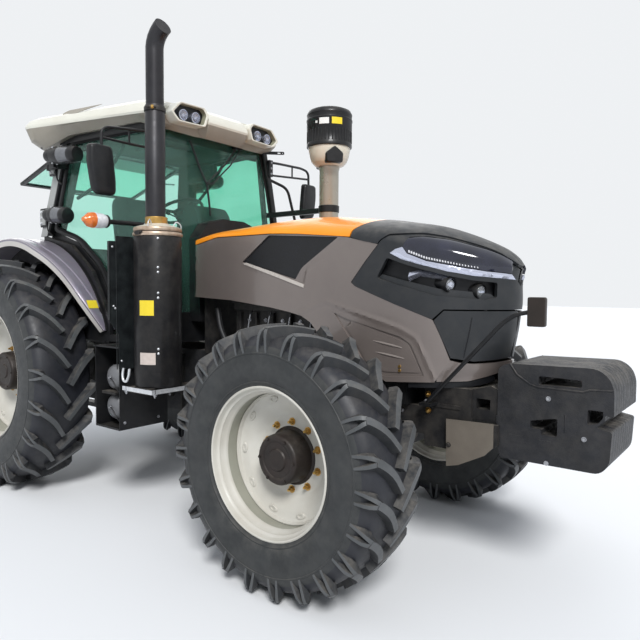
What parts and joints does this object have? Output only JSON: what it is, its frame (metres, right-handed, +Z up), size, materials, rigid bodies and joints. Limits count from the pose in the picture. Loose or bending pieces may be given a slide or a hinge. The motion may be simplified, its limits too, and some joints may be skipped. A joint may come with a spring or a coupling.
{
  "type": "farm tractor",
  "caption": "Row-crop farm tractor with lugged tyres, tilting hood, glazed cab, upright exhaust, front weights and a rear three-point hitch.",
  "frame": {"origin": "on the ground under the middle of the tractor's length and width", "axes": "+X forward, +Y to the tractor's left, +Z up"},
  "size_m": [5.35, 2.36, 3.2338],
  "materials": {
    "tyre": "matte",
    "rim_silver": "gloss",
    "cast_dark": "satin",
    "frame_grey": "satin",
    "hood_grey": "metallic gloss",
    "nose_black": "satin",
    "lamp": "gloss",
    "exhaust_black": "matte",
    "cab_black": "satin",
    "glass": "tinted",
    "roof_cream": "satin",
    "fender_grey": "satin",
    "seat_black": "woven",
    "console_black": "matte",
    "cleaner_black": "satin",
    "tank_black": "satin"
  },
  "bodies": {
    "chassis": {"chassis_frame": "frame_grey", "front_weights": "cast_dark", "engine_block": "cast_dark", "radiator": "cast_dark", "hood_support": "cab_black", "transmission_case": "cast_dark", "rear_axle_housing": "cast_dark", "drawbar": "cast_dark", "front_axle": "cast_dark", "exhaust_guard": "exhaust_black", "exhaust_stack": "exhaust_black", "heat_shield": "exhaust_black", "side_tanks": "tank_black", "fuel_tank": "tank_black", "cab_steps": "tank_black", "precleaner": "cleaner_black", "cab_base": "cab_black", "cab_frame": "cab_black", "windshield": "glass", "rear_window": "glass", "roof": "roof_cream", "cab_lamps": "lamp", "left_fender": "fender_grey", "right_fender": "fender_grey", "seat": "seat_black", "steering_console": "console_black", "mirrors": "console_black"},
    "hood": {"hood_shell": "hood_grey", "hood_nose": "nose_black", "headlamps": "lamp"},
    "left_cab_door": {"left_door": "cab_black", "left_door_glass": "glass"},
    "right_cab_door": {"right_door": "cab_black", "right_door_glass": "glass"},
    "hitch_links": {"lower_links": "cast_dark"},
    "hitch_arms": {"lift_arms": "cast_dark"},
    "hitch_rods": {"lift_rods": "cast_dark"},
    "steer_left": {"left_knuckle": "cast_dark"},
    "steer_right": {"right_knuckle": "cast_dark"},
    "front_left_wheel": {"front_left_tyre": "tyre", "front_left_rim": "rim_silver"},
    "front_right_wheel": {"front_right_tyre": "tyre", "front_right_rim": "rim_silver"},
    "rear_left_wheel": {"rear_left_tyre": "tyre", "rear_left_rim": "rim_silver"},
    "rear_right_wheel": {"rear_right_tyre": "tyre", "rear_right_rim": "rim_silver"}
  },
  "joints": [
    {"name": "hood_tilt", "type": "hinge", "parent": "chassis", "child": "hood", "pos_m": [0.075, 0, 1.86], "axis": [0, -1, 0], "range_deg": [0, 35]},
    {"name": "left_door_swing", "type": "hinge", "parent": "chassis", "child": "left_cab_door", "pos_m": [-1.385, 0.725, 2.1], "axis": [0, 0, 1], "range_deg": [0, 70]},
    {"name": "right_door_swing", "type": "hinge", "parent": "chassis", "child": "right_cab_door", "pos_m": [-1.385, -0.725, 2.1], "axis": [0, 0, -1], "range_deg": [0, 70]},
    {"name": "steer_right_kingpin", "type": "hinge", "parent": "chassis", "child": "steer_right", "pos_m": [1.293, -0.7, 0.6825], "axis": [0, 0, 1], "range_deg": [-30, 30]},
    {"name": "steer_left_kingpin", "type": "hinge", "parent": "chassis", "child": "steer_left", "pos_m": [1.293, 0.7, 0.6825], "axis": [0, 0, 1], "range_deg": [-30, 30]},
    {"name": "front_right_spin", "type": "hinge", "parent": "steer_right", "child": "front_right_wheel", "pos_m": [1.293, -0.91, 0.6825], "axis": [0, 1, 0], "continuous": true},
    {"name": "front_left_spin", "type": "hinge", "parent": "steer_left", "child": "front_left_wheel", "pos_m": [1.293, 0.91, 0.6825], "axis": [0, 1, 0], "continuous": true},
    {"name": "rear_right_spin", "type": "hinge", "parent": "chassis", "child": "rear_right_wheel", "pos_m": [-1.575, -0.948, 0.876], "axis": [0, 1, 0], "continuous": true},
    {"name": "rear_left_spin", "type": "hinge", "parent": "chassis", "child": "rear_left_wheel", "pos_m": [-1.575, 0.948, 0.876], "axis": [0, 1, 0], "continuous": true},
    {"name": "hitch_lift", "type": "hinge", "parent": "chassis", "child": "hitch_links", "pos_m": [-1.825, 0, 0.56], "axis": [0, 1, 0], "range_deg": [-15, 35]},
    {"name": "lift_arm_turn", "type": "hinge", "parent": "chassis", "child": "hitch_arms", "pos_m": [-1.825, 0, 1.205], "axis": [0, 1, 0], "range_deg": [-15, 35]},
    {"name": "lift_rod_turn", "type": "hinge", "parent": "hitch_arms", "child": "hitch_rods", "pos_m": [-2.175, 0, 1.205], "axis": [0, 1, 0], "range_deg": [-35, 15]}
  ],
  "couplings": [
    {"joint": "steer_left_kingpin", "follows": "steer_right_kingpin", "ratio": 1},
    {"joint": "lift_arm_turn", "follows": "hitch_lift", "ratio": 1},
    {"joint": "lift_rod_turn", "follows": "hitch_lift", "ratio": -1}
  ]
}
